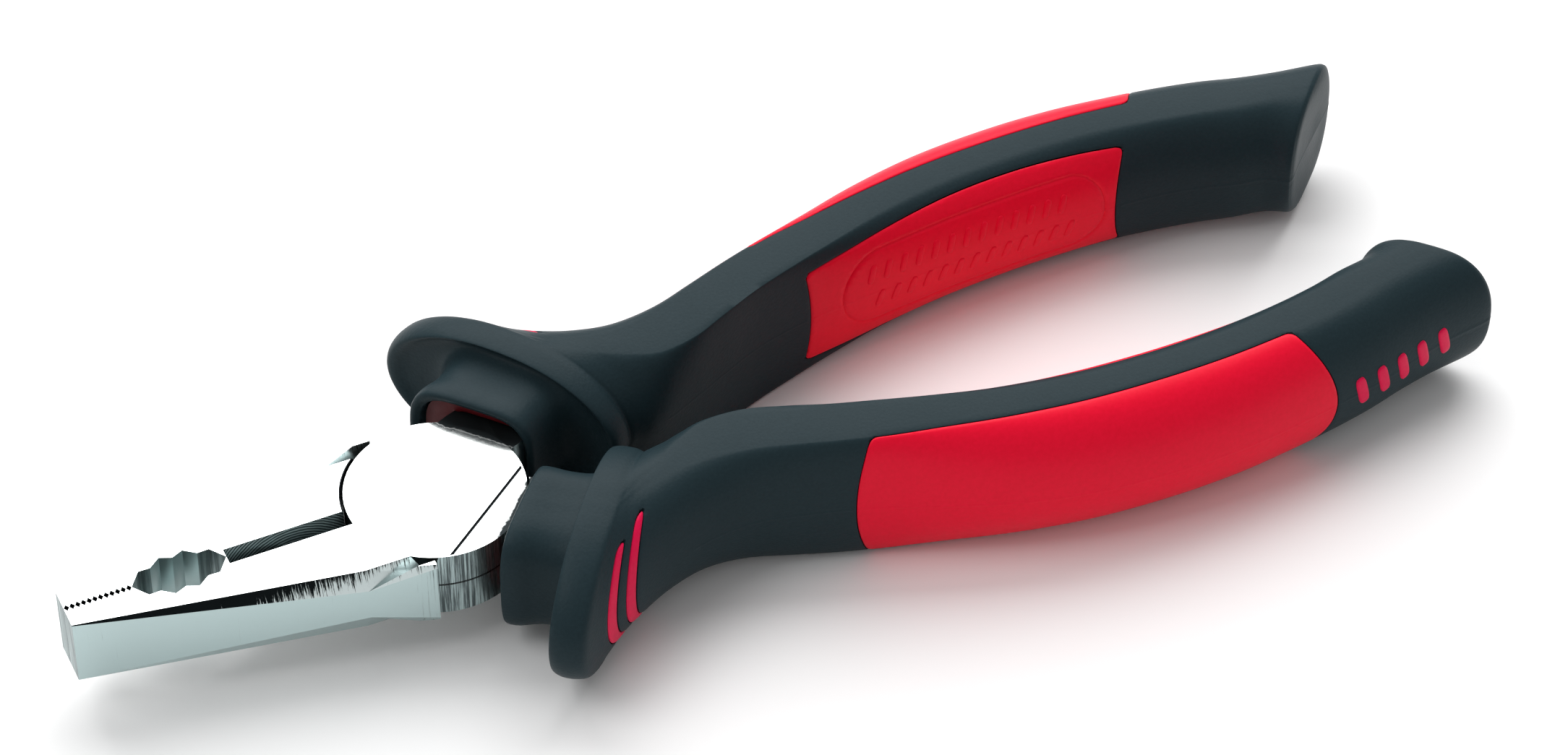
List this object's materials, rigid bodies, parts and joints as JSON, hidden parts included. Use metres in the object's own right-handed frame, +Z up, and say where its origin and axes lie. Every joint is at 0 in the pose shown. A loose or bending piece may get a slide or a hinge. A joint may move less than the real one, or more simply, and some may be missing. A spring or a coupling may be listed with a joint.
{
  "type": "combination pliers",
  "caption": "Insulated combination pliers with flat toothed jaws, pipe grip, side cutter, lap joint on a flush rivet, and guarded black and red two-colour handles.",
  "frame": {"origin": "middle of the length, on the long axis, at the surface the pliers lie on", "axes": "+X along the pliers towards the handle ends, +Y towards the right handle, +Z up along the rivet"},
  "size_m": [0.18, 0.06, 0.0206],
  "materials": {
    "steel": "polished, nickel bright, with fine grinding marks on the bevels",
    "rivet_steel": "polished flush with the head",
    "black_grip": "satin soft plastic",
    "red_inlay": "satin soft plastic",
    "red_sleeve": "satin plastic insulation",
    "red_marks": "satin soft plastic"
  },
  "bodies": {
    "left_half": {"left_forging": "steel", "left_sleeve": "red_sleeve", "left_grip": "black_grip", "left_outer_inlay": "red_inlay", "left_inner_inlay": "red_inlay", "left_guard_stripes": "red_marks", "left_end_marks": "red_marks"},
    "right_half": {"right_forging": "steel", "right_sleeve": "red_sleeve", "right_grip": "black_grip", "right_outer_inlay": "red_inlay", "right_inner_inlay": "red_inlay", "right_guard_stripes": "red_marks", "right_end_marks": "red_marks", "pivot_rivet": "rivet_steel"}
  },
  "joints": [
    {"name": "jaw_pivot", "type": "hinge", "parent": "left_half", "child": "right_half", "pos_m": [-0.0429, 0, 0.0103], "axis": [0, 0, 1], "range_deg": [0, 36]}
  ]
}
